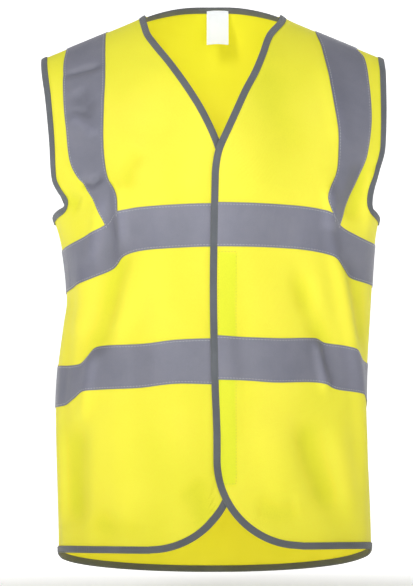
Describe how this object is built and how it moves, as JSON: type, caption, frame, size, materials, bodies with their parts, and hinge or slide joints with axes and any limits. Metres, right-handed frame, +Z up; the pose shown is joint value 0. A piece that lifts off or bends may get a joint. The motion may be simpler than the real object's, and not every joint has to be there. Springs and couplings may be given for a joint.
{
  "type": "high visibility vest",
  "caption": "Sleeveless fluorescent yellow safety vest with reflective grey bands and shoulder braces, bound edges and an overlapping hook-and-loop front that folds open.",
  "frame": {"origin": "midway between the two neck points, where the shoulder seams meet the neckline", "axes": "+Z up, +X to the wearer's left, -Y out of the front"},
  "size_m": [0.4214, 0.2477, 0.6822],
  "materials": {
    "vest_fabric": "fluorescent yellow warp knit, slightly translucent",
    "reflective_tape": "glass-bead retroreflective tape, satin grey",
    "edge_binding": "matt grey folded binding tape",
    "hook_and_loop": "woven hook-and-loop tape",
    "seam_allowance": "overlocked raw edge",
    "label_ribbon": "blank white woven ribbon"
  },
  "bodies": {
    "root": {"back_panel": "vest_fabric", "left_front_side": "vest_fabric", "right_front_side": "vest_fabric", "upper_band_left_side": "reflective_tape", "upper_band_right_side": "reflective_tape", "lower_band_left_side": "reflective_tape", "lower_band_right_side": "reflective_tape", "upper_band_back": "reflective_tape", "lower_band_back": "reflective_tape", "left_brace_front": "reflective_tape", "left_brace_back": "reflective_tape", "right_brace_front": "reflective_tape", "right_brace_back": "reflective_tape", "left_armhole_binding_front": "edge_binding", "left_armhole_binding_back": "edge_binding", "right_armhole_binding_front": "edge_binding", "right_armhole_binding_back": "edge_binding", "left_neck_binding": "edge_binding", "right_neck_binding": "edge_binding", "back_neck_binding": "edge_binding", "back_hem_binding": "edge_binding", "left_hem_binding": "edge_binding", "right_hem_binding": "edge_binding", "left_side_seam": "seam_allowance", "left_shoulder_seam": "seam_allowance", "right_side_seam": "seam_allowance", "right_shoulder_seam": "seam_allowance"},
    "left_flap": {"left_front_flap": "vest_fabric", "left_front_edge_binding": "edge_binding", "upper_band_left_flap": "reflective_tape", "lower_band_left_flap": "reflective_tape", "hook_strip": "hook_and_loop"},
    "right_flap": {"right_front_flap": "vest_fabric", "right_front_edge_binding": "edge_binding", "upper_band_right_flap": "reflective_tape", "lower_band_right_flap": "reflective_tape", "loop_strip": "hook_and_loop"},
    "neck_label": {"neck_label": "label_ribbon"},
    "care_label": {"care_label": "label_ribbon"}
  },
  "joints": [
    {"name": "left_front_open", "type": "hinge", "parent": "root", "child": "left_flap", "pos_m": [0.06, -0.118, -0.08], "axis": [-0.1197, 0, 0.9928], "range_deg": [0, 110]},
    {"name": "right_front_open", "type": "hinge", "parent": "root", "child": "right_flap", "pos_m": [-0.06, -0.118, -0.08], "axis": [0.1197, 0, 0.9928], "range_deg": [-33, 0]},
    {"name": "neck_label_flip", "type": "hinge", "parent": "root", "child": "neck_label", "pos_m": [0.006, 0.03425, 0.011], "axis": [-1, 0, 0], "range_deg": [0, 100]},
    {"name": "care_label_flip", "type": "hinge", "parent": "root", "child": "care_label", "pos_m": [0.176, 0.004, -0.51], "axis": [0, 0, 1], "range_deg": [0, 75]}
  ],
  "couplings": [
    {"joint": "right_front_open", "follows": "left_front_open", "ratio": -0.3}
  ]
}
